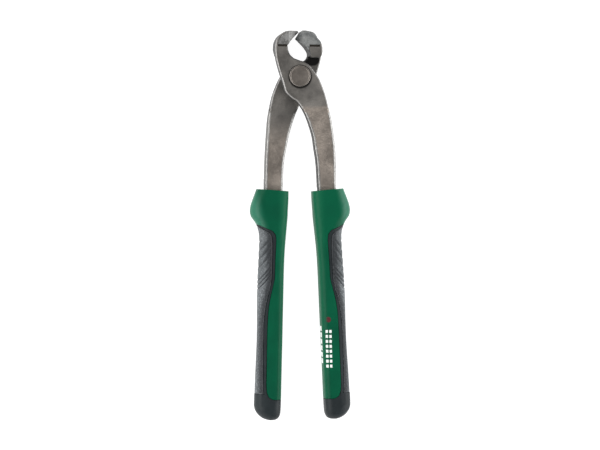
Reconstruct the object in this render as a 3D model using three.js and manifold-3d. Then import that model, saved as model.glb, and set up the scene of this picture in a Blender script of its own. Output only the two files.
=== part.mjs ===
// Parrot-beak nipping pliers: two forged levers on one rivet, brazed carbide tips and moulded grips.
// Millimetres. The tool lies flat: +Z is up through the rivet, +Y points along the tool to the jaws.
// The origin is on the rivet's axis, in the plane that the tool lies on.
import * as THREE from "three";
import { mergeVertices } from "three/addons/utils/BufferGeometryUtils.js";
import Module from "manifold-3d";

const wasm = await Module();
wasm.setup();

// Heights.
const TOOL_THICKNESS = 17;
const MID_Z = TOOL_THICKNESS / 2;
const RIVET_HEAD_HEIGHT = 1.5;
const JOINT_TOP = TOOL_THICKNESS - RIVET_HEAD_HEIGHT;
const JOINT_BOTTOM = RIVET_HEAD_HEIGHT;
const LAP_GAP = 0.3;
const ARM_HALF_THICKNESS = 4.5;

// Rivet and the bores that it fills.
const RIVET_HEAD_RADIUS = 6.8;
const RIVET_HEAD_CHAMFER = 0.6;
const RIVET_SHANK_RADIUS = 4.5;
const RIVET_CLEARANCE = 0.06;
const RIVET_SEAT_GAP = 0.05;
const ROUND_SEGMENTS = 48;

// Levers.
const LEVER_BEVEL = 0.7;
const HEAD_END_Y = -21;
const RAMP_START_Y = -23;
const RAMP_END_Y = -44;
const ARM_CORNER_RADIUS = 1.6;
const CURVE_STEPS = 4;
const SAME_POINT = 0.05;

// Carbide tips and their brazed seats.
const SEAT_GAP = 0.15;
const SEAM_TOP_Y = 20.25;
const SEAM_BOTTOM_Y = 18.85;
const BRAZE_RECESS = 0.5;
const BEAK_HALF_THICKNESS = 1.2;

// Grips, drawn for the right-hand handle and mirrored for the left.
const RIGHT_GRIP_TURN = THREE.MathUtils.degToRad(1.29);
const RIGHT_GRIP_SHIFT = 0.7;
const LEFT_GRIP_SHIFT = -0.4;
const GRIP_INNER_RADIUS = 5;
const GRIP_CORNER_SEGMENTS = 4;
const CORNER_SHRINK = 0.6;
const SMALLEST_FLAT = 0.4;
const GRIP_CURVE_STEPS = 2;
const GRIP_MOUTH_Y = -73.1;
const GRIP_MOUTH_TILT = THREE.MathUtils.degToRad(4);
const MOULD_GAP = 0.3;
const PAD_THICKNESS = 1.2;
const OVERMOULD_DEPTH = 3.1;
const CORE_END_Y = -214;
const TANG_END_Y = -205;

// A three.js geometry as a solid, turned to face outwards.
function solidOf(geometry) {
  const bare = geometry.clone();
  bare.deleteAttribute("normal");
  bare.deleteAttribute("uv");
  const merged = mergeVertices(bare.index ? bare.toNonIndexed() : bare, 1e-4);
  const vertProperties = new Float32Array(merged.attributes.position.array);
  const triVerts = new Uint32Array(merged.index.array);
  const solid = new wasm.Manifold(
    new wasm.Mesh({ numProp: 3, vertProperties, triVerts }),
  );
  if (solid.volume() > 0) return solid;
  for (let i = 0; i < triVerts.length; i += 3) {
    [triVerts[i + 1], triVerts[i + 2]] = [triVerts[i + 2], triVerts[i + 1]];
  }
  return new wasm.Manifold(new wasm.Mesh({ numProp: 3, vertProperties, triVerts }));
}

// A solid as a named mesh with its material.
function meshOf(name, solid, material) {
  const made = solid.getMesh();
  const geometry = new THREE.BufferGeometry();
  geometry.setAttribute("position", new THREE.BufferAttribute(made.vertProperties, 3));
  geometry.setIndex(new THREE.BufferAttribute(made.triVerts, 1));
  geometry.computeVertexNormals();
  const mesh = new THREE.Mesh(geometry, material);
  mesh.name = name;
  return mesh;
}

const pointsOf = (list) => list.map(([x, y]) => new THREE.Vector2(x, y));

// A smooth line through a few points, as a list of points.
function smooth(list, steps = CURVE_STEPS) {
  return new THREE.SplineCurve(pointsOf(list)).getPoints((list.length - 1) * steps);
}

// An outline from stretches of points: neighbours that meet share one point.
function outline(...stretches) {
  const kept = [];
  for (const point of stretches.flat()) {
    const last = kept[kept.length - 1];
    if (!last || last.distanceTo(point) > SAME_POINT) kept.push(point);
  }
  if (kept[0].distanceTo(kept[kept.length - 1]) < SAME_POINT) kept.pop();
  return new THREE.Shape(kept);
}

// A plate between two heights whose top and bottom edges are chamfered inwards.
function plate(shape, low, high, bevel) {
  const geometry = new THREE.ExtrudeGeometry(shape, {
    depth: high - low - 2 * bevel,
    bevelThickness: bevel,
    bevelSize: bevel,
    bevelOffset: -bevel,
    bevelSegments: 1,
    curveSegments: 12,
  });
  return solidOf(geometry.translate(0, 0, low + bevel));
}

// A tall prism over an outline, grown sideways by a clearance. It only cuts other solids.
function zone(points, grow = 0) {
  const shape = new THREE.Shape(points);
  const overhang = 1;
  const geometry = new THREE.ExtrudeGeometry(shape, {
    depth: TOOL_THICKNESS + 2 * overhang,
    bevelThickness: overhang,
    bevelSize: 0,
    bevelOffset: grow,
    bevelSegments: 1,
  });
  return solidOf(geometry.translate(0, 0, -overhang));
}

// One rounded-rectangle ring at a height along Y, with its own radius on the outer side.
function ring({ y, x0, x1, z0, z1, radius, outerRadius = radius, segments }) {
  const points = [];
  const corners = [
    [x1 - outerRadius, z1 - outerRadius, outerRadius],
    [x0 + radius, z1 - radius, radius],
    [x0 + radius, z0 + radius, radius],
    [x1 - outerRadius, z0 + outerRadius, outerRadius],
  ];
  corners.forEach(([cx, cz, size], quarter) => {
    for (let i = 0; i <= segments; i += 1) {
      const angle = ((quarter + i / segments) * Math.PI) / 2;
      const x = cx + size * Math.cos(angle);
      points.push(new THREE.Vector3(x, y, cz + size * Math.sin(angle)));
    }
  });
  return points;
}

// A closed loft through rings that all have the same number of points.
function loft(rings, placement = new THREE.Matrix4()) {
  const count = rings[0].length;
  const middle = (points) =>
    points.reduce((sum, p) => sum.add(p), new THREE.Vector3()).divideScalar(count);
  const vertices = [...rings.flat(), middle(rings[0]), middle(rings[rings.length - 1])];
  const firstCentre = rings.length * count;
  const faces = [];
  rings.slice(1).forEach((_, i) => {
    for (let k = 0; k < count; k += 1) {
      const next = (k + 1) % count;
      const [a, b] = [i * count + k, i * count + next];
      faces.push(a, b, b + count, a, b + count, a + count);
    }
  });
  const lastRing = (rings.length - 1) * count;
  for (let k = 0; k < count; k += 1) {
    const next = (k + 1) % count;
    faces.push(firstCentre, next, k);
    faces.push(firstCentre + 1, lastRing + k, lastRing + next);
  }
  const positions = vertices.flatMap((v) => v.clone().applyMatrix4(placement).toArray());
  const geometry = new THREE.BufferGeometry();
  geometry.setAttribute("position", new THREE.Float32BufferAttribute(positions, 3));
  geometry.setIndex(faces);
  return solidOf(geometry);
}

// ---- Levers ----

// The front lever's head in plan: left jaw, hub and the start of the right arm.
const frontHead = outline(
  pointsOf([[0, 28.5], [-0.9, 29.4]]),
  smooth([
    [-5.0, 29.2], [-9.5, 28.5], [-13.5, 25.6], [-15.45, 21.7],
    [-15.8, 16.5], [-15.0, 10.1], [-12.9, 2.4], [-11.1, -3.1],
  ]),
  smooth([[-10.05, -6.95], [-8.7, -10.7], [-4.7, -14.3], [-1.5, -16.4], [1.9, HEAD_END_Y]]),
  smooth([[18.85, HEAD_END_Y], [16.5, -11.8], [13.1, -2.8], [9.5, 3.0]]),
  smooth([[7.4, 5.7], [5.3, 7.8], [3.0, 9.2], [0.4, 9.9]]),
  smooth([
    [-3.8, 11.4], [-6.4, 14.0], [-7.55, 17.6], [-6.9, 20.9], [-4.2, 24.3],
  ]),
);

// The back lever's head in plan: right jaw, hub and the start of the left arm.
const backHead = outline(
  pointsOf([[-2.2, 24.2], [0.1, 27.4], [0.9, 28.7], [1.8, 29.3]]),
  smooth([[4.0, 29.3], [8.6, 28.3], [10.7, 26.3], [11.45, 24.7]]),
  smooth([
    [12.5, 23.6], [13.5, 22.4], [14.3, 20.7], [14.8, 18.2], [14.9, 14.8],
    [14.7, 11.5], [13.4, 6.2], [11.0, -2.0],
  ]),
  smooth([[9.8, -7.0], [8.5, -10.7], [4.6, -14.3], [1.7, -17.0], [-0.6, HEAD_END_Y]]),
  smooth([[-18.55, HEAD_END_Y], [-16.4, -11.8], [-12.8, -2.8], [-9.4, 3.0]]),
  smooth([[-7.4, 5.7], [-5.3, 7.8], [-3.0, 9.2], [0.2, 9.7]]),
  smooth([[3.4, 10.1], [5.5, 11.7], [6.4, 14.9], [4.2, 18.8], [0.4, 22.0]]),
);

// Each arm from the head to the grip: how far along, its inner edge and its outer edge.
const rightArm = [
  [-19, 0.7, 18.3], [-23.4, 3.0, 19.6], [-27.2, 4.75, 20.6], [-31.1, 6.3, 21.3],
  [-38.8, 8.9, 22.6], [-46.5, 10.1, 23.5], [-54.2, 11.3, 23.9], [-62, 11.9, 24.05],
  [-71, 12.35, 24.1],
];
const leftArm = [
  [-19, 0.6, -18.1], [-23.4, -1.3, -19.1], [-27.2, -2.8, -19.7], [-31.1, -4.2, -20.2],
  [-38.8, -6.6, -20.9], [-46.5, -8.2, -21.4], [-54.2, -9.6, -21.8], [-62, -10.25, -22.0],
  [-71, -10.5, -22.1],
];

// The tang inside a grip, in the grip's own frame, with its half thickness.
const tang = [
  [-66, 10.1, 21.8, 4.5], [-78, 10.4, 21.8, 4.5], [-92, 11.6, 21.2, 3.8],
  [-110, 12.3, 20.8, 3.6], [-140, 13.3, 21.2, 3.6], [-175, 14.6, 22.0, 3.6],
  [TANG_END_Y, 15.9, 22.6, 3.6],
];

// An arm that leaves its half of the lap joint and comes to the middle of the tool's thickness.
function armSolid(stations, jointLow, jointHigh) {
  const edges = [1, 2].map((column) =>
    smooth(stations.map((station) => [station[0], station[column]])),
  );
  return loft(
    edges[0].map((inner, i) => {
      const y = inner.x;
      const ramp = THREE.MathUtils.smoothstep(-y, -RAMP_START_Y, -RAMP_END_Y);
      return ring({
        y,
        x0: Math.min(inner.y, edges[1][i].y),
        x1: Math.max(inner.y, edges[1][i].y),
        z0: THREE.MathUtils.lerp(jointLow, MID_Z - ARM_HALF_THICKNESS, ramp),
        z1: THREE.MathUtils.lerp(jointHigh, MID_Z + ARM_HALF_THICKNESS, ramp),
        radius: ARM_CORNER_RADIUS,
        segments: 2,
      });
    }),
  );
}

// The tang, or with a clearance the bore that takes it.
function tangSolid(grow, placement, overrun = 0) {
  const rings = tang.map(([y, x0, x1, half], i) =>
    ring({
      y: i === 0 ? y + 2 * overrun : i === tang.length - 1 ? y - overrun : y,
      x0: x0 - grow,
      x1: x1 + grow,
      z0: MID_Z - half - grow,
      z1: MID_Z + half + grow,
      radius: ARM_CORNER_RADIUS,
      segments: 2,
    }),
  );
  return loft(rings, placement);
}

function boreSolid() {
  const radius = RIVET_SHANK_RADIUS + RIVET_CLEARANCE;
  const bore = new THREE.CylinderGeometry(radius, radius, 2 * TOOL_THICKNESS, ROUND_SEGMENTS);
  return solidOf(bore.rotateX(Math.PI / 2).translate(0, 0, MID_Z));
}

// The part of a jaw that has the joint's full thickness lies above this line, whose outer end
// slants up so that the jaw's foot runs into the lever without a corner.
const fullJaw = (side, foot) =>
  zone(
    pointsOf(
      [
        [-20, 13.9], [3.8, 13.7], [6.2, 13.0], [8.2, 12.1], [10.1, 12.2], ...foot,
        [20, 19], [20, 40], [-20, 40],
      ].map(([x, y]) => [x * side, y]),
    ),
  );
const leftFoot = [[13.9, 12.2], [14.8, 13.7], [15.3, 15.5], [15.9, 17.5]];
const rightFoot = [[13.4, 12.2], [14.2, 13.4], [14.7, 15.2], [15.2, 17.5]];

// A whole lever blank, before its tip is seated.
function leverBlank({ head, arm, side, foot, top, placement }) {
  const [low, high] = top
    ? [MID_Z + LAP_GAP / 2, JOINT_TOP]
    : [JOINT_BOTTOM, MID_Z - LAP_GAP / 2];
  const jaw = plate(head, JOINT_BOTTOM, JOINT_TOP, LEVER_BEVEL).intersect(fullJaw(side, foot));
  return plate(head, low, high, LEVER_BEVEL)
    .add(jaw)
    .add(armSolid(arm, low, high))
    .add(tangSolid(0, placement))
    .subtract(boreSolid());
}

// ---- Tips ----

// Where each tip sits in plan. The seat is the same outline grown by the seat gap, down to the seam's foot.
const leftTipZone = (foot) =>
  pointsOf([
    [-14.0, foot], [-14.0, 21.6], [-13.0, 24.0], [-11.4, 25.9], [-9.4, 27.3],
    [-8.6, 30], [-8.6, 40], [6, 40], [6, foot],
  ]);
const rightTipZone = (foot) =>
  pointsOf([
    [-12, 16.6], [5.7, 16.6], [6.3, SEAM_BOTTOM_Y], [6.3, foot], [12.9, foot],
    [12.9, SEAM_TOP_Y], [14.9, 23.2], [16, 40], [-12, 40],
  ]);

// A bar whose top and bottom faces slope towards the middle height beyond a line in plan.
function beakTaper({ start, end, run }) {
  const along = new THREE.Vector3(end[0] - start[0], end[1] - start[1], 0).normalize();
  const across = new THREE.Vector3(0, 0, 1).cross(along).negate();
  const drop = JOINT_TOP - MID_Z - BEAK_HALF_THICKNESS;
  const reach = 40;
  const half = [
    [-reach, reach * (drop / run)],
    [run, -drop],
    [reach, -drop],
  ].map(([d, z]) => [d, JOINT_TOP + z]);
  const mirrored = half.map(([d, z]) => [d, 2 * MID_Z - z]).reverse();
  const shape = new THREE.Shape(pointsOf([...half, ...mirrored]));
  const bar = new THREE.ExtrudeGeometry(shape, { depth: 2 * reach, bevelEnabled: false });
  bar.translate(0, 0, -reach);
  const up = new THREE.Vector3(0, 0, 1);
  const basis = new THREE.Matrix4().makeBasis(across, up, across.clone().cross(up));
  bar.applyMatrix4(basis.setPosition(start[0], start[1], 0));
  return solidOf(bar);
}
const leftBeak = { start: [-7.1, 20], end: [-7.1, 30], run: 7.1 };
const rightBeak = { start: [2.3, 27.8], end: [5.9, 16.2], run: 4.5 };

function tipAndLever(blank, tipZone, beak) {
  return {
    tip: blank.intersect(zone(tipZone(SEAM_TOP_Y))).intersect(beakTaper(beak)),
    lever: blank.subtract(zone(tipZone(SEAM_BOTTOM_Y + SEAT_GAP), SEAT_GAP)),
  };
}

// The brazing shim between a tip's foot and its seat, a little below the jaw's faces.
function brazeSolid(x0, x1) {
  const low = SEAM_BOTTOM_Y + SEAT_GAP;
  const high = SEAM_TOP_Y - SEAT_GAP;
  const depth = JOINT_TOP - JOINT_BOTTOM - 2 * BRAZE_RECESS;
  const shim = new THREE.BoxGeometry(x1 - x0, high - low, depth);
  return solidOf(shim.translate((x0 + x1) / 2, (low + high) / 2, MID_Z));
}

// ---- Rivet ----

function rivetSolid() {
  const rim = RIVET_HEAD_RADIUS - RIVET_HEAD_CHAMFER;
  const shoulder = RIVET_HEAD_HEIGHT - RIVET_SEAT_GAP;
  const half = [
    [0, 0],
    [rim, 0],
    [RIVET_HEAD_RADIUS, RIVET_HEAD_CHAMFER],
    [RIVET_HEAD_RADIUS, shoulder],
    [RIVET_SHANK_RADIUS, shoulder],
  ];
  const mirrored = half.map(([r, z]) => [r, TOOL_THICKNESS - z]).reverse();
  const profile = pointsOf([...half, ...mirrored]);
  return solidOf(new THREE.LatheGeometry(profile, ROUND_SEGMENTS).rotateX(Math.PI / 2));
}

// ---- Grips ----

// How far along, inner edge, outer edge, half thickness and outer rounding of the grip.
const gripSides = [
  [-69.2, 6.3, 25.5, 8.4, 6.0], [-74.2, 6.4, 27.3, 8.5, 6.8], [-79.2, 6.5, 29.3, 8.5, 7.6],
  [-83.2, 6.7, 30.6, 8.5, 8.0], [-86.7, 6.9, 31.0, 8.5, 8.0], [-90.2, 7.0, 30.2, 8.5, 8.0],
  [-93.7, 7.3, 27.6, 8.4, 7.6], [-97.2, 7.6, 26.1, 8.2, 7.2], [-102.2, 8.0, 24.9, 8.0, 6.8],
  [-111.2, 8.75, 25.15, 8.0, 6.6], [-124.2, 9.35, 25.75, 8.1, 6.6], [-144.2, 9.75, 26.35, 8.3, 6.6],
  [-169.4, 10.25, 26.75, 8.5, 6.6], [-189.6, 10.75, 27.55, 8.5, 6.6], [-208, 11.3, 28.15, 8.5, 6.6],
  [-212, 11.45, 28.1, 8.5, 6.6],
];
const gripEnd = [
  [-214.5, 11.55, 27.45, 8.3, 6.6], [-216.8, 11.75, 26.0, 7.7, 6.2],
  [-218.8, 12.4, 23.9, 6.6, 5.4], [-220.1, 13.5, 21.5, 5.2, 4.2], [-220.7, 15.0, 19.2, 3.6, 1.7],
];

// The line in plan where the hard shell meets the soft overmould.
const partingLine = [
  ...smooth([[36, -91.4], [28.2, -94.3], [22.4, -97.1], [17.4, -99.1]], 2),
  ...smooth([[15.6, -101.1], [14.8, -104.9], [15.4, -116.9], [15.8, -129.9]], 2),
  ...smooth([[17.4, -136.9], [19.4, -146.1], [20.4, -157], [21.0, -179], [21.3, -197]], 2),
  ...smooth([[21.1, -201.4], [20.1, -204.9], [17.6, -206.9], [14.5, -207.3], [2, -207.3]], 2),
];
const shellPlan = [...partingLine, ...pointsOf([[2, -60], [38, -60]])];

// The textured pad in plan.
const padPlan = [
  ...smooth([[38, -92.4], [28.2, -95.7], [22.6, -98.7], [19.2, -100.7]], 2),
  ...smooth([[17.6, -103.3], [17.3, -107.9], [17.4, -118.9], [17.8, -130.9]], 2),
  ...smooth([[19.2, -137.4], [21.4, -146.1], [22.8, -156.9], [23.4, -178.9], [23.5, -201.9]], 2),
  ...pointsOf([[23.0, -203.6], [38, -203.6]]),
];

// Stations between the given ones, on smooth lines through each of their values.
function smoothStations(stations) {
  const columns = [1, 2, 3, 4].map((column) =>
    smooth(stations.map((station) => [station[0], station[column]]), GRIP_CURVE_STEPS),
  );
  return columns[0].map((point, i) => [point.x, ...columns.map((column) => column[i].y)]);
}

// The grip's outer form, or with an inset the form that lies that deep under its surface.
function gripForm(inset, stations) {
  const rings = smoothStations(stations).map(([y, x0, x1, halfThickness, rounding]) => {
    const half = Math.min(halfThickness, MID_Z) - inset;
    const largest = half - SMALLEST_FLAT;
    const shrink = CORNER_SHRINK * inset;
    return ring({
      y,
      x0: x0 + inset,
      x1: x1 - inset,
      z0: MID_Z - half,
      z1: MID_Z + half,
      radius: Math.min(GRIP_INNER_RADIUS - shrink, largest),
      outerRadius: Math.min(rounding - shrink, largest),
      segments: GRIP_CORNER_SEGMENTS,
    });
  });
  return loft(rings);
}

// Everything above the grip's slanting mouth.
function aboveMouth() {
  const [width, height] = [60, 40];
  const box = new THREE.BoxGeometry(width, height, 2 * TOOL_THICKNESS);
  box.translate(0, height / 2, MID_Z).rotateZ(GRIP_MOUTH_TILT).translate(18, GRIP_MOUTH_Y, 0);
  return solidOf(box);
}

function gripSolids() {
  const core = gripSides.map((station) =>
    station[0] === -212 ? [CORE_END_Y, ...station.slice(1)] : station,
  );
  const coreEndGap = core.map((station) =>
    station[0] === CORE_END_Y ? [CORE_END_Y - MOULD_GAP, ...station.slice(1)] : station,
  );
  const form = gripForm(0, [...gripSides, ...gripEnd]).subtract(aboveMouth());
  const shell = form
    .intersect(zone(shellPlan))
    .add(gripForm(OVERMOULD_DEPTH + MOULD_GAP, core).subtract(aboveMouth()))
    .subtract(tangSolid(MOULD_GAP, undefined, 1));
  const padRecess = zone(padPlan, MOULD_GAP).subtract(
    gripForm(PAD_THICKNESS + MOULD_GAP, gripSides),
  );
  const overmould = form
    .subtract(zone(shellPlan, MOULD_GAP))
    .subtract(gripForm(OVERMOULD_DEPTH, coreEndGap))
    .subtract(padRecess);
  const pad = form
    .intersect(zone(padPlan))
    .subtract(gripForm(PAD_THICKNESS, gripSides));
  return { shell, overmould, pad };
}

// ---- Assembly ----

const steel = new THREE.MeshStandardMaterial({ color: 0x7a746c, roughness: 0.42, metalness: 1 });
const carbide = new THREE.MeshStandardMaterial({ color: 0x92918c, roughness: 0.5, metalness: 1 });
const braze = new THREE.MeshStandardMaterial({ color: 0x33302a, roughness: 0.8, metalness: 0.6 });
const hardPlastic = new THREE.MeshStandardMaterial({ color: 0x0b5b43, roughness: 0.4 });
const softRubber = new THREE.MeshStandardMaterial({ color: 0x31393c, roughness: 0.7 });
const padRubber = new THREE.MeshStandardMaterial({ color: 0x62696c, roughness: 0.85 });

const rightPlacement = new THREE.Matrix4()
  .makeTranslation(RIGHT_GRIP_SHIFT, 0, 0)
  .multiply(new THREE.Matrix4().makeRotationZ(RIGHT_GRIP_TURN));
const leftPlacement = new THREE.Matrix4()
  .makeTranslation(LEFT_GRIP_SHIFT, 0, 0)
  .multiply(new THREE.Matrix4().makeScale(-1, 1, 1));

const front = tipAndLever(
  leverBlank({
    head: frontHead, arm: rightArm, side: -1, foot: leftFoot, top: true, placement: rightPlacement,
  }),
  leftTipZone,
  leftBeak,
);
const back = tipAndLever(
  leverBlank({
    head: backHead, arm: leftArm, side: 1, foot: rightFoot, top: false, placement: leftPlacement,
  }),
  rightTipZone,
  rightBeak,
);
const grip = gripSolids();

function gripGroup(side, placement) {
  const group = new THREE.Group();
  group.applyMatrix4(placement);
  group.add(
    meshOf(`${side}_grip_shell`, grip.shell, hardPlastic),
    meshOf(`${side}_grip_overmould`, grip.overmould, softRubber),
    meshOf(`${side}_grip_pad`, grip.pad, padRubber),
  );
  return group;
}

const pliers = new THREE.Group();
pliers.add(
  meshOf("front_lever", front.lever, steel),
  meshOf("back_lever", back.lever, steel),
  meshOf("left_jaw_tip", front.tip, carbide),
  meshOf("right_jaw_tip", back.tip, carbide),
  meshOf("left_tip_braze", brazeSolid(-13.9, -7.9), braze),
  meshOf("right_tip_braze", brazeSolid(6.4, 12.6), braze),
  meshOf("pivot_rivet", rivetSolid(), steel),
  gripGroup("left", leftPlacement),
  gripGroup("right", rightPlacement),
);

export default pliers;
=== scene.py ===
import math

import bmesh
import bpy
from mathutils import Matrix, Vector


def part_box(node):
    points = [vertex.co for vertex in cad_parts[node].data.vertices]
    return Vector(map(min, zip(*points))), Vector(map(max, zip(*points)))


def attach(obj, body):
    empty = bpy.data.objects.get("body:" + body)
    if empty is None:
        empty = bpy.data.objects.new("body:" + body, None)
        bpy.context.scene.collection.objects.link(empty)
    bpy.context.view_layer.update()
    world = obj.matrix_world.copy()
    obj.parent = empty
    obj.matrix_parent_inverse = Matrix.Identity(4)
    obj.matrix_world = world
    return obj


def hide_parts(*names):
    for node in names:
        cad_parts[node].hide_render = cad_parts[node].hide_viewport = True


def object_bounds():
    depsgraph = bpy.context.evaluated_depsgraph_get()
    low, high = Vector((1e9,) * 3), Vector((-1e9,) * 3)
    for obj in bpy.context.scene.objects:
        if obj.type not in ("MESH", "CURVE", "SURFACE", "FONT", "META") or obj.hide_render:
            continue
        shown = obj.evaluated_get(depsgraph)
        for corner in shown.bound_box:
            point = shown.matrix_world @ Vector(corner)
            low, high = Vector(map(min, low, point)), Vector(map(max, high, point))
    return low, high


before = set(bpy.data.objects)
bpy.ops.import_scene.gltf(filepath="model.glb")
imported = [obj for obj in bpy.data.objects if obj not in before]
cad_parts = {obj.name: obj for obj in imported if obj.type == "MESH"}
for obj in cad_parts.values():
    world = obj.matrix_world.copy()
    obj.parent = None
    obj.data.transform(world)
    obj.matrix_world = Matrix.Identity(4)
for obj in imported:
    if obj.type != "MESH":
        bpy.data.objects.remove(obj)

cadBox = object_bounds()
mm = 0.001
rightGripTurn = math.radians(1.29)   # the right grip's own slant
print("frame loaded, box", cadBox)


class Wire:
    # wraps an output socket, so that 1 - mask * 0.4 adds its own Math nodes
    def __init__(self, paint, socket):
        self.paint = paint
        self.socket = socket

    def combine(self, operation, first, second=0.0):
        return self.paint.add("Math", {"operation": operation}, {0: first, 1: second})

    def __add__(self, other):
        return self.combine("ADD", self, other)

    def __radd__(self, other):
        return self.combine("ADD", other, self)

    def __sub__(self, other):
        return self.combine("SUBTRACT", self, other)

    def __rsub__(self, other):
        return self.combine("SUBTRACT", other, self)

    def __mul__(self, other):
        return self.combine("MULTIPLY", self, other)

    def __rmul__(self, other):
        return self.combine("MULTIPLY", other, self)

    def __truediv__(self, other):
        return self.combine("DIVIDE", self, other)

    def sine(self):
        return self.combine("SINE", self)

    def size(self):
        return self.combine("ABSOLUTE", self)

    def part(self):
        return self.combine("FRACT", self)

    def root(self):
        return self.combine("SQRT", self)

    def larger(self, other):
        return self.combine("MAXIMUM", self, other)


class Paint:
    # one material: its Principled shader, and whatever feeds it
    def __init__(self, name, **fixed):
        self.material = bpy.data.materials.new(name)
        self.material.use_nodes = True
        self.tree = self.material.node_tree
        self.shader = self.tree.nodes["Principled BSDF"]
        for socket, value in fixed.items():
            self.shader.inputs[socket.replace("_", " ")].default_value = value
        self.place = self.add("TexCoord", output="Object")

    def add(self, kind, settings=None, sockets=None, output=0):
        node = self.tree.nodes.new("ShaderNode" + kind)
        for name, value in (settings or {}).items():
            setattr(node, name, value)
        for name, value in (sockets or {}).items():
            self.feed(node.inputs[name], value)
        return Wire(self, node.outputs[output])

    def feed(self, socket, value):
        if isinstance(value, Wire):
            self.tree.links.new(value.socket, socket)
        elif isinstance(value, (tuple, list)) and socket.type == "RGBA":
            socket.default_value = (*value, 1)
        else:
            socket.default_value = value

    def coat(self, **sockets):
        for name, value in sockets.items():
            self.feed(self.shader.inputs[name.replace("_", " ")], value)
        return self.material

    def stretched(self, scale):
        return self.add("Mapping", {}, {"Vector": self.place, "Scale": scale})

    def noise(self, scale, detail=3.0, where=None, roughness=0.55):
        return self.add("TexNoise", {}, {"Vector": where or self.place, "Scale": scale,
                                         "Detail": detail, "Roughness": roughness})

    def cells(self, scale):
        return self.add("TexVoronoi", {}, {"Vector": self.place, "Scale": scale}, "Distance")

    # 0 at low and 1 at high, eased at both ends; low may be the larger of the two
    def ramp(self, value, low, high):
        return self.add("MapRange", {"interpolation_type": "SMOOTHSTEP"},
                        {"Value": value, "From Min": low, "From Max": high})

    def blend(self, amount, first, second):
        return self.add("Mix", {"data_type": "RGBA"}, {0: amount, 6: first, 7: second}, 2)

    def axis(self, name):
        return self.add("SeparateXYZ", {}, {0: self.place}, name)

    def relief(self, height, strength, distance, below=None):
        sockets = {"Height": height, "Strength": strength, "Distance": distance}
        if below is not None:
            sockets["Normal"] = below
        return self.add("Bump", {}, sockets)


def scaled(colour, factor):
    return tuple(channel * factor for channel in colour)


steelLook = {
    "armLight": (0.445, 0.387, 0.337),
    "armDark": (0.285, 0.250, 0.220),
    "headLight": (0.275, 0.258, 0.238),
    "headDark": (0.172, 0.163, 0.151),
    "oilAndShade": (0.016, 0.0155, 0.015),
    "roughness": 0.40,
    "heatLine": {"frontLever": (-0.0195, 0.0016), "backLever": (-0.0360, 0.0125)},
    "pit": (0.0086, 0.0108),  # painted shade in the hollow between the right jaw and the front lever's hub
    "pitSize": (0.0053, 0.0037),
    "pitTop": (0.0095, 0.0085),
    "jawDarkening": 0.17,             # the right jaw is painted a little darker than the hub
    "jawDarkeningFrom": (0.0100, 0.0140),
    "ring": 0.00690,          # painted shadow of the rivet's head: a dark ring round it, off-centre so it is widest to the lower right
    "ringShift": (0.00026, -0.00042),
    "ringWidth": 0.00115,
    "ringOil": 0.9,
}


# The dark forged head ends at the heat line, and the ground arm starts.
def leverSteel(lever, hasPit):
    paint = Paint(lever + "Steel", Metallic=0.92)
    look = steelLook
    heatLine, heatBlur = look["heatLine"][lever]
    x, y, z = paint.axis("X"), paint.axis("Y"), paint.axis("Z")
    wander = paint.noise(120, 2) * 0.003 - 0.0015
    arm = paint.ramp(y + wander, heatLine + heatBlur, heatLine - heatBlur)
    cloud = paint.ramp(paint.noise(62, 4), 0.34, 0.68)
    scale = paint.ramp(paint.noise(720, 5, roughness=0.65), 0.40, 0.66)
    pits = paint.ramp(paint.cells(1150), 0.16, 0.02)
    streak = paint.noise(1, 3, paint.stretched((2400, 110, 2400)))
    head = paint.blend(cloud, look["headDark"], look["headLight"])
    head = paint.blend(scale * 0.45, head, look["headDark"])
    ground = paint.blend(cloud * 0.6 + streak * 0.4, look["armDark"], look["armLight"])
    tone = paint.blend(arm, head, ground)
    tone = paint.blend(pits * (0.35 - 0.2 * arm), tone, look["oilAndShade"])
    # Painted shadow: a dark ring round the rivet's head, off-centre.
    ringX, ringY = x - look["ringShift"][0], y - look["ringShift"][1]
    radius = (ringX * ringX + ringY * ringY).root()
    offRing = (radius - look["ring"]).size()
    paintedShade = look["ringOil"] * paint.ramp(offRing, look["ringWidth"], look["ringWidth"] * 0.3)
    # On the back lever, painted shade in the hollow by the right jaw.
    if hasPit:
        dx = (x - look["pit"][0]) / look["pitSize"][0]
        dy = (y - look["pit"][1]) / look["pitSize"][1]
        hollowShade = paint.ramp((dx * dx + dy * dy).root() + wander * 60, 1.15, 0.85)
        low = paint.ramp(z, *look["pitTop"])
        paintedShade = paintedShade.larger(hollowShade * low)
        # the right jaw is painted darker than the hub
        tone = paint.blend(look["jawDarkening"] * paint.ramp(y, *look["jawDarkeningFrom"]), tone, look["oilAndShade"])
    tone = paint.blend(paintedShade, tone, look["oilAndShade"])
    rough = look["roughness"] + 0.12 * cloud + 0.10 * scale - 0.12 * arm * streak
    fine = paint.relief(scale + 0.6 * paint.noise(2600, 3), 0.30, 0.00006)
    bump = paint.relief(streak * arm, 0.22, 0.00006, fine)
    return paint.coat(Base_Color=tone, Roughness=rough, Normal=bump)


workedLook = {
    "nick": (0.10, 0.095, 0.09),       # dirt in the small nicks of a bright edge
    "nicks": 0.25,
    "bare": (0.24, 0.23, 0.22),        # metal that shows through the scale
    "brazeDark": (0.010, 0.009, 0.008),
    "brazeLight": (0.045, 0.038, 0.030),
}


def brightEdge(name, dark, light):
    paint = Paint(name, Metallic=1.0)
    streak = paint.noise(1, 3, paint.stretched((900, 260, 900)))
    nick = paint.ramp(paint.noise(420, 3), 0.38, 0.55)
    tone = paint.blend(streak, dark, light)
    tone = paint.blend(workedLook["nicks"] * (1 - nick), tone, workedLook["nick"])
    return paint.coat(Base_Color=tone, Roughness=0.32 + 0.2 * streak)


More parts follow.
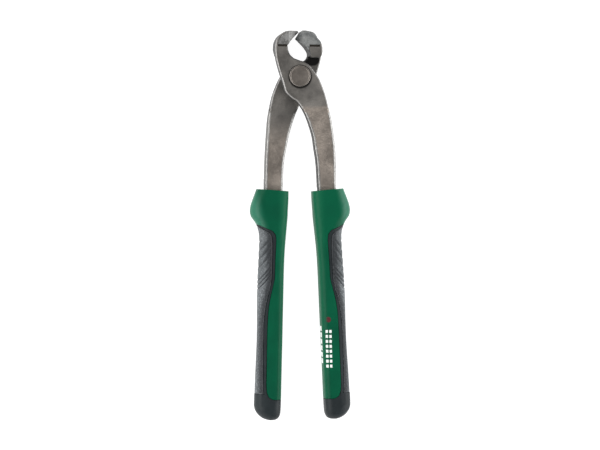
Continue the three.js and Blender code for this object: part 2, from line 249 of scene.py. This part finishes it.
# The forged sides were never ground: black scale with a little bare metal showing.
def forgedSide(name, dark, light):
    paint = Paint(name, Metallic=0.6, Specular_IOR_Level=0.3)
    cloud = paint.noise(240, 4)
    bare = paint.ramp(paint.noise(900, 4, roughness=0.7), 0.52, 0.70)
    tone = paint.blend(cloud, dark, light)
    tone = paint.blend(bare * 0.5, tone, workedLook["bare"])
    bump = paint.relief(cloud + 0.5 * bare, 0.35, 0.00012)
    return paint.coat(Base_Color=tone, Roughness=0.62 - 0.18 * bare, Normal=bump)


rivetPaint = {
    "dark": (0.190, 0.168, 0.150),
    "light": (0.280, 0.250, 0.222),
    "ringPitch": 0.00026,       # turning marks, from groove to groove
    "rim": (0.0063, 0.0067),    # the rim, partly real wear and partly a painted highlight, starts and is full at these radii
    "rimWearAndHighlight": (0.40, 0.37, 0.345),
}


def rivetSteel():
    paint = Paint("rivetSteel", Metallic=0.95)
    look = rivetPaint
    x, y = paint.axis("X"), paint.axis("Y")
    radius = (x * x + y * y).root()
    rings = (radius * (2 * math.pi / look["ringPitch"])).sine() * 0.5 + 0.5
    cloud = paint.noise(150, 4)
    grain = paint.noise(1900, 3)
    mottle = 0.7 * paint.ramp(cloud, 0.32, 0.68) + 0.3 * grain
    tone = paint.blend(mottle, look["dark"], look["light"])
    # Painted highlight on the rim, partly real wear, which is also smoother.
    wornAndLit = paint.ramp(radius, *look["rim"])
    tone = paint.blend(wornAndLit * (0.25 + 0.5 * cloud), tone, look["rimWearAndHighlight"])
    bump = paint.relief(rings + grain * 0.8, 0.16, 0.00005)
    return paint.coat(Base_Color=tone, Roughness=0.36 + 0.16 * cloud - 0.12 * wornAndLit, Normal=bump)


def carbideGrey(name, tone, dark):
    paint = Paint(name, Metallic=0.5, Specular_IOR_Level=0.3)
    grain = paint.noise(1300, 4, roughness=0.7)
    patch = paint.ramp(paint.noise(210, 4), 0.36, 0.64)
    colour = paint.blend(patch, dark, tone)
    bright = paint.ramp(grain, 0.48, 0.70) * 0.55
    colour = paint.blend(bright, colour, scaled(tone, 1.5))
    grit = paint.ramp(paint.cells(1500), 0.30, 0.05)
    colour = paint.blend(grit * 0.5, colour, scaled(dark, 0.45))
    bump = paint.relief(grain + grit, 0.40, 0.00008)
    return paint.coat(Base_Color=colour, Roughness=0.46 + 0.16 * patch, Normal=bump)


def brazeBlack():
    paint = Paint("brazeBlack", Metallic=0.0, Specular_IOR_Level=0.1)
    lump = paint.noise(1800, 3)
    tone = paint.blend(lump, workedLook["brazeDark"], workedLook["brazeLight"])
    return paint.coat(Base_Color=tone, Roughness=0.7 + 0.2 * lump,
                      Normal=paint.relief(lump, 0.6, 0.0002))


greenLook = {
    "face": (0.0, 0.080, 0.0365),
    "deep": (0.0, 0.060, 0.0290),
    "dust": (0.0, 0.12, 0.066),
    "roughness": 0.42,
    "paintedSheen": (0.014, 0.150, 0.086),   # painted highlight on the bulge's outer slopes: paler, with more coat
    "paintedSheenFrom": (0.0222, 0.0292),
    "paintedSheenSlant": {"left": 0.25, "right": -0.12},
    "paintedSheenMiddle": -0.0850,
    "bulgeFrom": (-0.1040, -0.0960),
    "shine": 0.4,
    "inner": (0.010, 0.122, 0.060),   # painted light: the inner rounding is painted paler
    "innerFrom": (0.0150, 0.0098),
    "innerShare": 0.6,
    "white": (0.80, 0.82, 0.80),
    "red": (0.090, 0.021, 0.025),
}


def greenShell(name, printed):
    paint = Paint(name, Metallic=0.0, Specular_IOR_Level=0.11, Coat_Roughness=0.34)
    look = greenLook
    drift = paint.noise(38, 2)
    orange = paint.noise(1500, 2)
    scuff = paint.ramp(paint.noise(1, 3, paint.stretched((420, 60, 420))), 0.60, 0.78)
    tone = paint.blend(paint.ramp(drift, 0.3, 0.7), look["deep"], look["face"])
    tone = paint.blend(scuff * 0.16, tone, look["dust"])
    side = "right" if printed else "left"
    across = acrossGrip(paint) if printed else -1 * paint.axis("X")
    y = paint.axis("Y")
    # Painted highlight: the bulge's outer slopes are painted paler, with more coat.
    slanted = across - look["paintedSheenSlant"][side] * (y - look["paintedSheenMiddle"])
    onBulge = paint.ramp(y, *look["bulgeFrom"])
    paintedSheen = paint.ramp(slanted, *look["paintedSheenFrom"]) * onBulge * (0.65 + 0.35 * drift)
    tone = paint.blend(paintedSheen, tone, look["paintedSheen"])
    # Painted light: paler along the inner rounding.
    inner = look["innerShare"] * paint.ramp(across, *look["innerFrom"])
    tone = paint.blend(inner, tone, look["inner"])
    rough = look["roughness"] + 0.10 * orange + 0.12 * scuff
    if printed:
        marks = printMask(paint)
        tone = paint.blend(marks, tone, look["white"])
        tone = paint.blend(dotMask(paint), tone, look["red"])
        rough = rough + 0.12 * marks
    bump = paint.relief(orange, 0.12, 0.00006)
    return paint.coat(Base_Color=tone, Roughness=rough, Normal=bump,
                      Coat_Weight=look["shine"] * paintedSheen)


printLook = {
    "turn": rightGripTurn,
    "bars": {"top": -0.1622, "bottom": -0.1876, "count": 8, "gap": 0.36},
    "centre": 0.0148,             # across the grip, at the row's middle
    "half": 0.00195,
    "slit": 0.00034,              # a plain slit along the row splits each bar in two
    "sideBars": {"top": -0.1600, "bottom": -0.1850, "count": 6, "gap": 0.20},
    "sideHeight": (0.0058, 0.0120),
    "sideBeyond": (0.0015, 0.0017),   # the side bars start this far inside the row's middle
    "topFrom": (0.0152, 0.0156),      # heights between which a mark on the face fades in
    "dotTopFrom": (0.0162, 0.0166),
    "blur": 0.00012,
    "dot": (0.0147, -0.1562),     # a plain round mark above the row
    "dotRadius": 0.0019,
}


# A row of equal plain bars, as a mask.
def barRow(paint, y, row):
    step = (row["top"] - row["bottom"]) / row["count"]
    part = ((row["top"] - y) / step).part()
    edge = 0.5 - row["gap"] / 2
    bar = paint.ramp((part - 0.5).size(), edge, edge - 0.05)
    aboveBottom = paint.ramp(y, row["bottom"] - 0.1 * mm, row["bottom"])
    belowTop = paint.ramp(y, row["top"] + 0.1 * mm, row["top"])
    return bar * aboveBottom * belowTop


def acrossGrip(paint):
    look = printLook
    return paint.axis("X") * math.cos(look["turn"]) + paint.axis("Y") * math.sin(look["turn"])


def printMask(paint):
    look = printLook
    across, y, z = acrossGrip(paint), paint.axis("Y"), paint.axis("Z")
    off = (across - look["centre"]).size()
    inside = paint.ramp(off, look["half"], look["half"] - look["blur"])
    inside = inside * paint.ramp(off, look["slit"], look["slit"] + look["blur"])
    onTop = paint.ramp(z, *look["topFrom"])
    low, high = look["sideHeight"]
    onSide = paint.ramp(z, low, low + 0.2 * mm) * paint.ramp(z, high, high - 0.2 * mm)
    onSide = onSide * paint.ramp(look["centre"] - across, *look["sideBeyond"])
    faceBars = barRow(paint, y, look["bars"]) * inside * onTop
    return faceBars + barRow(paint, y, look["sideBars"]) * onSide


def dotMask(paint):
    look = printLook
    dx = acrossGrip(paint) - look["dot"][0]
    dy = paint.axis("Y") - look["dot"][1]
    away = (dx * dx + dy * dy).root()
    onTop = paint.ramp(paint.axis("Z"), *look["dotTopFrom"])
    return paint.ramp(away, look["dotRadius"], look["dotRadius"] - 0.3 * mm) * onTop


padGrain = {
    "pebble": 900,              # pebbles to the metre
    "depth": 0.00030,
    "roughFrom": -0.1285,       # above this the pad is finer, below it coarse
    "roughTo": -0.1400,
    "hollowShadeTone": (0.020, 0.023, 0.026),
}


def greyRubber(name, light, dark, grain, roughness):
    paint = Paint(name, Metallic=0.0, Specular_IOR_Level=0.25)
    drift = paint.noise(60, 3)
    speck = paint.noise(1900, 3, roughness=0.7)
    tone = paint.blend(paint.ramp(drift, 0.3, 0.7), dark, light)
    tone = paint.blend(paint.ramp(speck, 0.52, 0.75) * 0.35, tone, scaled(light, 1.6))
    bump = paint.relief(speck, 0.2, 0.00006)
    rough = roughness + 0.12 * speck
    if grain:
        along = paint.axis("Y")
        pebble = paint.ramp(paint.cells(padGrain["pebble"]), 0.10, 0.62)
        coarse = paint.ramp(along, padGrain["roughFrom"], padGrain["roughTo"])
        lower = 0.45 + 0.55 * coarse
        tone = paint.blend(coarse * 0.6, tone, scaled(light, 1.5))
        # Painted shade between the pebbles and painted highlight on their raised tops.
        tone = paint.blend(pebble * lower * 0.42, tone, scaled(dark, 0.45))
        tone = paint.blend((1 - pebble) * lower * 0.62, tone, scaled(light, 2.5))
        bump = paint.relief((1 - pebble) * lower, 0.7, padGrain["depth"], bump)
        # Painted shade in the grooves and over the pad's dip towards its inner border.
        hollowShade = paint.add("Attribute", {"attribute_name": "hollowShade"}, output="Fac")
        tone = paint.blend(paint.ramp(hollowShade, 0.05, 0.75) * 0.85, tone, padGrain["hollowShadeTone"])
    return paint.coat(Base_Color=tone, Roughness=rough, Normal=bump)


finishes = {
    "frontLever": leverSteel("frontLever", False),
    "backLever": leverSteel("backLever", True),
    "edge": brightEdge("brightEdge", (0.20, 0.194, 0.187), (0.34, 0.33, 0.32)),
    "armEdge": brightEdge("armEdge", (0.36, 0.35, 0.335), (0.58, 0.565, 0.545)),
    "rivet": rivetSteel(),
    "side": forgedSide("forgedSide", (0.045, 0.045, 0.046), (0.105, 0.103, 0.10)),
    # a paler copy of the forged side, painted light for the back lever's arm sides
    "paintedLitSide": forgedSide("paintedLitSide", (0.12, 0.118, 0.115), (0.22, 0.217, 0.21)),
    "leftTip": carbideGrey("carbideLight", (0.26, 0.259, 0.254), (0.140, 0.138, 0.134)),
    "rightTip": carbideGrey("carbideDark", (0.228, 0.233, 0.228), (0.130, 0.137, 0.137)),
    "braze": brazeBlack(),
    "greenPlain": greenShell("greenPlain", False),
    "greenPrinted": greenShell("greenPrinted", True),
    "cap": greyRubber("capGrey", (0.014, 0.020, 0.0225), (0.009, 0.013, 0.015), False, 0.46),
    # a paler copy of the cap grey for the overmould's rounded edges: a painted highlight
    "capEdgeHighlight": greyRubber("capEdgeHighlight", (0.040, 0.047, 0.052), (0.028, 0.034, 0.038), False, 0.42),
    "pad": greyRubber("padGrey", (0.125, 0.135, 0.142), (0.082, 0.092, 0.097), True, 0.62),
}
print("finishes ready:", len(finishes))


def pick(piece):
    # operators act on all that is selected, so the rest is let go first
    if bpy.context.mode != "OBJECT":
        bpy.ops.object.mode_set(mode="OBJECT")
    bpy.ops.object.select_all(action="DESELECT")
    piece.select_set(True)
    bpy.context.view_layer.objects.active = piece


def applyAll(piece):
    pick(piece)
    for modifier in list(piece.modifiers):
        bpy.ops.object.modifier_apply(modifier=modifier.name)


# Smooth shading in which the large flats stay flat and only the rounded edges turn.
def shadeByAngle(piece, degrees):
    pick(piece)
    bpy.ops.object.shade_smooth_by_angle(angle=math.radians(degrees))
    flats = piece.modifiers.new("flats", "WEIGHTED_NORMAL")
    flats.weight = 100
    flats.keep_sharp = True
    applyAll(piece)


# A node's solid as a clean mesh of its own, ready for edges and relief.
def mergedCopy(node, name, flatten=0.6):
    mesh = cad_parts[node].data.copy()
    piece = bpy.data.objects.new(name, mesh)
    bpy.context.scene.collection.objects.link(piece)
    mesh.materials.clear()
    pick(piece)
    bpy.ops.mesh.customdata_custom_splitnormals_clear()
    bpy.ops.object.mode_set(mode="EDIT")
    bpy.ops.mesh.select_all(action="SELECT")
    bpy.ops.mesh.remove_doubles(threshold=0.002 * mm)
    if flatten:
        bpy.ops.mesh.dissolve_limited(angle_limit=math.radians(flatten))
    bpy.ops.object.mode_set(mode="OBJECT")
    return piece


# Without an edge finish of its own a rounded edge keeps its neighbours' material.
def roundEdges(piece, width, segments, angle, edgeFinish=-1):
    bevel = piece.modifiers.new("edges", "BEVEL")
    bevel.width = width
    bevel.segments = segments
    bevel.limit_method = "ANGLE"
    bevel.angle_limit = math.radians(angle)
    bevel.use_clamp_overlap = True
    bevel.material = edgeFinish
    bevel.miter_outer = "MITER_ARC"
    applyAll(piece)


def settle(piece, body, slot, *nodes):
    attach(piece, body)
    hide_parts(*nodes)


leverLook = {
    "rounding": 0.16 * mm,
    "sideBelow": 0.45,     # faces steeper than this stay as forged
    "edgeBelow": 0.86,     # chamfers round the head shine
    "armEdge": 0.20,       # on the arms it's the sideways lean that tells an edge
    "armsFrom": -0.0225,
    # the back lever's arm sides take the paler forged side, painted light; the front lever's
    # stay dark
    "armSide": {"frontLever": "side", "backLever": "paintedLitSide"},
    # inside the jaws, above this y and within this x, no edge is bright
    "mouth": (0.0095, 0.0078),
    "slots": {"edge": 1, "side": 2, "armSide": 3, "armEdge": 4},
}


def finishSides(piece):
    look, slots = leverLook, leverLook["slots"]
    mouthY, mouthX = look["mouth"]
    for face in piece.data.polygons:
        rise, lean = abs(face.normal.z), abs(face.normal.x)
        onArm = face.center.y < look["armsFrom"]
        inMouth = face.center.y > mouthY and abs(face.center.x) < mouthX
        if rise < look["sideBelow"]:
            face.material_index = slots["armSide"] if onArm else slots["side"]
        elif onArm and lean > look["armEdge"]:
            face.material_index = slots["armEdge"]
        elif not onArm and rise < look["edgeBelow"]:
            face.material_index = slots["side"] if inMouth else slots["edge"]


def makeLever(node, name):
    piece = mergedCopy(node, name)
    for finish in (name, "edge", "side", leverLook["armSide"][name], "armEdge"):
        piece.data.materials.append(finishes[finish])
    roundEdges(piece, leverLook["rounding"], 2, 28, leverLook["slots"]["edge"])
    finishSides(piece)
    shadeByAngle(piece, 32)
    settle(piece, node, "lever_steel", node)
    print("lever", name, len(piece.data.polygons), "faces")


tipLook = {"rounding": 0.10 * mm, "sideBelow": 0.15, "sideSlot": 1}


def makeTip(node, name, body):
    piece = mergedCopy(node, name)
    for finish in (name, "side"):
        piece.data.materials.append(finishes[finish])
    roundEdges(piece, tipLook["rounding"], 2, 25)
    for face in piece.data.polygons:
        if abs(face.normal.z) < tipLook["sideBelow"]:
            face.material_index = tipLook["sideSlot"]
    shadeByAngle(piece, 30)
    settle(piece, body, "carbide", node)


makeLever("back_lever", "backLever")
makeLever("front_lever", "frontLever")
makeTip("left_jaw_tip", "leftTip", "front_lever")
makeTip("right_jaw_tip", "rightTip", "back_lever")
for node in ("left_tip_braze", "right_tip_braze"):
    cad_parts[node].data.materials.clear()
    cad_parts[node].data.materials.append(finishes["braze"])


rivetLook = {
    "sides": 96,
    "chamfer": 0.55 * mm,
    "flat": 0.35 * mm,     # the level ring outside the dish
    "rim": 0.16 * mm,
    "dish": 0.12 * mm,
    "near": 0.01 * mm,
}


def selectEnd(piece, height):
    mesh = bmesh.from_edit_mesh(piece.data)
    for face in mesh.faces:
        face.select_set(abs(face.calc_center_median().z - height) < rivetLook["near"])
    mesh.select_flush_mode()
    bmesh.update_edit_mesh(piece.data)


def makeRivet():
    low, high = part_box("pivot_rivet")
    low, high = Vector(low), Vector(high)
    middle = (low + high) / 2
    radius = (high.x - low.x) / 2
    bpy.ops.object.select_all(action="DESELECT")
    bpy.ops.mesh.primitive_cylinder_add(vertices=rivetLook["sides"], radius=radius,
                                        depth=high.z - low.z, location=middle)
    piece = bpy.context.active_object
    piece.name = "rivet"
    pick(piece)
    bpy.ops.object.transform_apply(location=True, rotation=True, scale=True)
    bpy.ops.object.mode_set(mode="EDIT")
    bpy.ops.mesh.select_mode(type="FACE")
    for end in (low.z, high.z):
        selectEnd(piece, end)
        bpy.ops.mesh.bevel(offset=rivetLook["chamfer"], segments=3, profile=0.6)
        selectEnd(piece, end)
        bpy.ops.mesh.inset(thickness=rivetLook["flat"])
        bpy.ops.mesh.inset(thickness=rivetLook["rim"])
        inward = rivetLook["dish"] if end == low.z else -rivetLook["dish"]
        bpy.ops.transform.translate(value=(0, 0, inward))
    bpy.ops.object.mode_set(mode="OBJECT")
    piece.data.materials.append(finishes["rivet"])
    shadeByAngle(piece, 30)
    settle(piece, "back_lever", "rivet_steel", "pivot_rivet")


makeRivet()
print("head done")


gripLook = {
    "shellEdge": 0.35 * mm,
    "mouldEdge": 0.42 * mm,
    "mouldEdgeSlot": 1,
    "voxel": 0.42 * mm,
    "smoothing": 3,         # rounds of smoothing after the pad is remeshed
    "turn": rightGripTurn,
    "shift": 0.7 * mm,
    "leftShift": -0.4 * mm,
    "middle": 0.018,        # the grip's own middle, across and in height
    "midHeight": 0.0085,
}

padLook = {
    "rippleTop": -0.1045,
    "rippleEnd": -0.1240,
    "ripplePitch": 5.1 * mm,
    "rippleShare": 0.9,        # of a groove's depth
    "grooveTop": -0.1268,      # the three deep grooves, measured at the pad's crown line
    "groovePitch": 2.7 * mm,
    "grooveCount": 3,
    "cutDepth": 0.55 * mm,
    "cutShade": 0.85,          # how much painted shade a groove gets, at its deepest
    "grooveHalf": 0.75 * mm,
    "slant": 1.15,             # how far a groove runs down for each step outwards
    "crown": 0.0225,
    "sink": 0.75 * mm,         # the pad dips towards its inner border
    "sinkWidth": 6.5 * mm,
    "dipShade": 0.85,
    "deepest": 1.0 * mm,       # never through the pad, which is 1.2 mm thick
    "ledge": 0.5 * mm,
    "rippleBlur": 0.002,
    # places along the grip, each with how far out the pad's inner border is
    "border": [(-0.099, 0.0190), (-0.103, 0.0176), (-0.119, 0.0174), (-0.131, 0.0178),
               (-0.1374, 0.0192), (-0.1461, 0.0214), (-0.157, 0.0228), (-0.179, 0.0234),
               (-0.204, 0.0235)],
}


# The place of a point in the right-hand grip's own frame, with the left grip mirrored.
def gripPlace(side, point):
    if side == "left":
        return gripLook["leftShift"] - point.x, point.y
    turn, shift = gripLook["turn"], gripLook["shift"]
    x = (point.x - shift) * math.cos(turn) + point.y * math.sin(turn)
    return x, point.y * math.cos(turn) - (point.x - shift) * math.sin(turn)


def smoothStep(value):
    value = min(1.0, max(0.0, value))
    return value * value * (3 - 2 * value)


# The pad's inner border at a place along the grip, between its given points.
def borderAt(y):
    border = padLook["border"]
    for (highY, highX), (lowY, lowX) in zip(border, border[1:]):
        if y >= lowY:
            share = min(1.0, max(0.0, (highY - y) / (highY - lowY)))
            return highX + share * (lowX - highX)
    return border[-1][1]


def dipAt(x, y):
    return 1 - smoothStep((x - borderAt(y)) / padLook["sinkWidth"])


# How deep the scallops and grooves are at a place, from 0 to about 1.
def padCut(x, y):
    look = padLook
    down = y + look["slant"] * (x - look["crown"])
    cut = 0.0
    for number in range(look["grooveCount"]):
        away = abs(down - look["grooveTop"] + number * look["groovePitch"]) / look["grooveHalf"]
        if away < 1:
            cut += 0.5 + 0.5 * math.cos(math.pi * away)
    fade = smoothStep((look["rippleTop"] - y) / look["rippleBlur"])
    fade *= smoothStep((down - look["rippleEnd"]) / look["rippleBlur"])
    turn = ((look["rippleTop"] - down) / look["ripplePitch"]) % 1.0
    return cut + look["rippleShare"] * fade * turn ** 1.6 * smoothStep((1 - turn) / 0.16)


# 1 on the pad's outer face, and 0 on its edges and its hidden inner face.
def outerShare(side, x, z, normal):
    across = -normal.x if side == "left" else normal.x
    outward = Vector((x - gripLook["middle"], z - gripLook["midHeight"])).normalized()
    return smoothStep(1.6 * (across * outward.x + normal.z * outward.y))


def makePad(side, body):
    piece = mergedCopy(f"{side}_grip_pad", f"{side}Pad", 0)
    pick(piece)
    piece.data.remesh_voxel_size = gripLook["voxel"]
    piece.data.remesh_voxel_adaptivity = 0
    bpy.ops.object.voxel_remesh()
    smooth = piece.modifiers.new("smooth", "SMOOTH")
    smooth.factor = 0.5
    smooth.iterations = gripLook["smoothing"]
    applyAll(piece)
    normals = [vertex.normal.copy() for vertex in piece.data.vertices]
    hollowShade = piece.data.attributes.new("hollowShade", "FLOAT", "POINT")
    for vertex, normal in zip(piece.data.vertices, normals):
        x, y = gripPlace(side, vertex.co)
        share, dip, cut = outerShare(side, x, vertex.co.z, normal), dipAt(x, y), padCut(x, y)
        # painted shade, kept for the material: darker in the grooves and on the dip
        shade = padLook["cutShade"] * cut + padLook["dipShade"] * dip
        hollowShade.data[vertex.index].value = share * shade
        # the rim beside the border stays up
        ledge = smoothStep((x - borderAt(y)) / padLook["ledge"])
        depth = min(padLook["deepest"], cut * padLook["cutDepth"] + dip * padLook["sink"])
        vertex.co -= normal * depth * ledge * share
    piece.data.materials.append(finishes["pad"])
    for face in piece.data.polygons:
        face.use_smooth = True
    settle(piece, body, "pad_grey", f"{side}_grip_pad")
    print(side, "pad", len(piece.data.polygons), "faces")


def makeGrip(side, body, shellFinish):
    shell = mergedCopy(f"{side}_grip_shell", f"{side}Shell")
    shell.data.materials.append(finishes[shellFinish])
    roundEdges(shell, gripLook["shellEdge"], 3, 40)
    shadeByAngle(shell, 35)
    settle(shell, body, "grip_green", f"{side}_grip_shell")
    mould = mergedCopy(f"{side}_grip_overmould", f"{side}Overmould")
    # the overmould's rounded edges get the paler edge grey, a painted highlight
    for finish in ("cap", "capEdgeHighlight"):
        mould.data.materials.append(finishes[finish])
    roundEdges(mould, gripLook["mouldEdge"], 2, 40, gripLook["mouldEdgeSlot"])
    shadeByAngle(mould, 35)
    settle(mould, body, "grip_grey", f"{side}_grip_overmould")
    makePad(side, body)
    print(side, "grip", len(shell.data.polygons), len(mould.data.polygons), "faces")


makeGrip("left", "back_lever", "greenPlain")
makeGrip("right", "front_lever", "greenPrinted")


studio = {
    "tilt": math.radians(8),    # the camera leans over from the left
    "distance": 1.4,
    "aim": (-0.0001, -0.0955, 0.017),
    "columns": 600,             # the frame's width
    "scale": 0.6400 * mm,       # how much of the object one column of the frame shows
    "sensor": 36,
    "sky": 0.24,
    "floorGlow": 0.95,
    "floorBelow": 0.05 * mm,
    "lightAim": (0, -0.09, 0.008),
    "lights": {                 # place, size and power
        "keyLight": ((-0.25, 1.10, 0.80), (0.9, 0.5), 3),
        "leftLight": ((-1.10, -0.12, 0.72), (2.0, 1.2), 24),
        "rightLight": ((1.15, -0.12, 0.55), (2.0, 1.0), 24),
        "lowLight": ((-0.45, -1.40, 0.30), (1.6, 0.5), 4),
    },
}


def makeFloor():
    bpy.ops.object.select_all(action="DESELECT")
    height = cadBox[0][2] - studio["floorBelow"]
    bpy.ops.mesh.primitive_plane_add(size=6, location=(0, 0, height))
    floor = bpy.context.active_object
    floor.name = "floor"
    paint = Paint("floorWhite", Base_Color=(0.3, 0.3, 0.3, 1), Roughness=0.9,
                  Specular_IOR_Level=0.1, Emission_Color=(1, 1, 1, 1),
                  Emission_Strength=studio["floorGlow"])
    floor.data.materials.append(paint.material)


def addLight(name, place, size, power):
    bpy.ops.object.light_add(type="AREA", location=place)
    light = bpy.context.active_object
    light.name = name
    light.data.shape = "RECTANGLE"
    light.data.size, light.data.size_y = size
    light.data.energy = power
    towards = Vector(studio["lightAim"]) - Vector(place)
    light.rotation_euler = towards.to_track_quat("-Z", "Y").to_euler()


def makeStudio():
    makeFloor()
    for name, (place, size, power) in studio["lights"].items():
        addLight(name, place, size, power)
    world = bpy.data.worlds.new("studioAir")
    world.use_nodes = True
    air = world.node_tree.nodes["Background"]
    air.inputs["Color"].default_value = (1, 1, 1, 1)
    air.inputs["Strength"].default_value = studio["sky"]
    bpy.context.scene.world = world
    bpy.context.scene.view_settings.view_transform = "Standard"
    tilt, distance = studio["tilt"], studio["distance"]
    away = distance * Vector((-math.sin(tilt), 0, math.cos(tilt)))
    bpy.ops.object.camera_add(location=Vector(studio["aim"]) + away, rotation=(0, -tilt, 0))
    camera = bpy.context.active_object
    camera.data.sensor_width = studio["sensor"]
    camera.data.lens = studio["sensor"] * distance / (studio["columns"] * studio["scale"])
    camera.data.clip_end = 10
    bpy.context.scene.camera = camera


makeStudio()
print("scene ready")
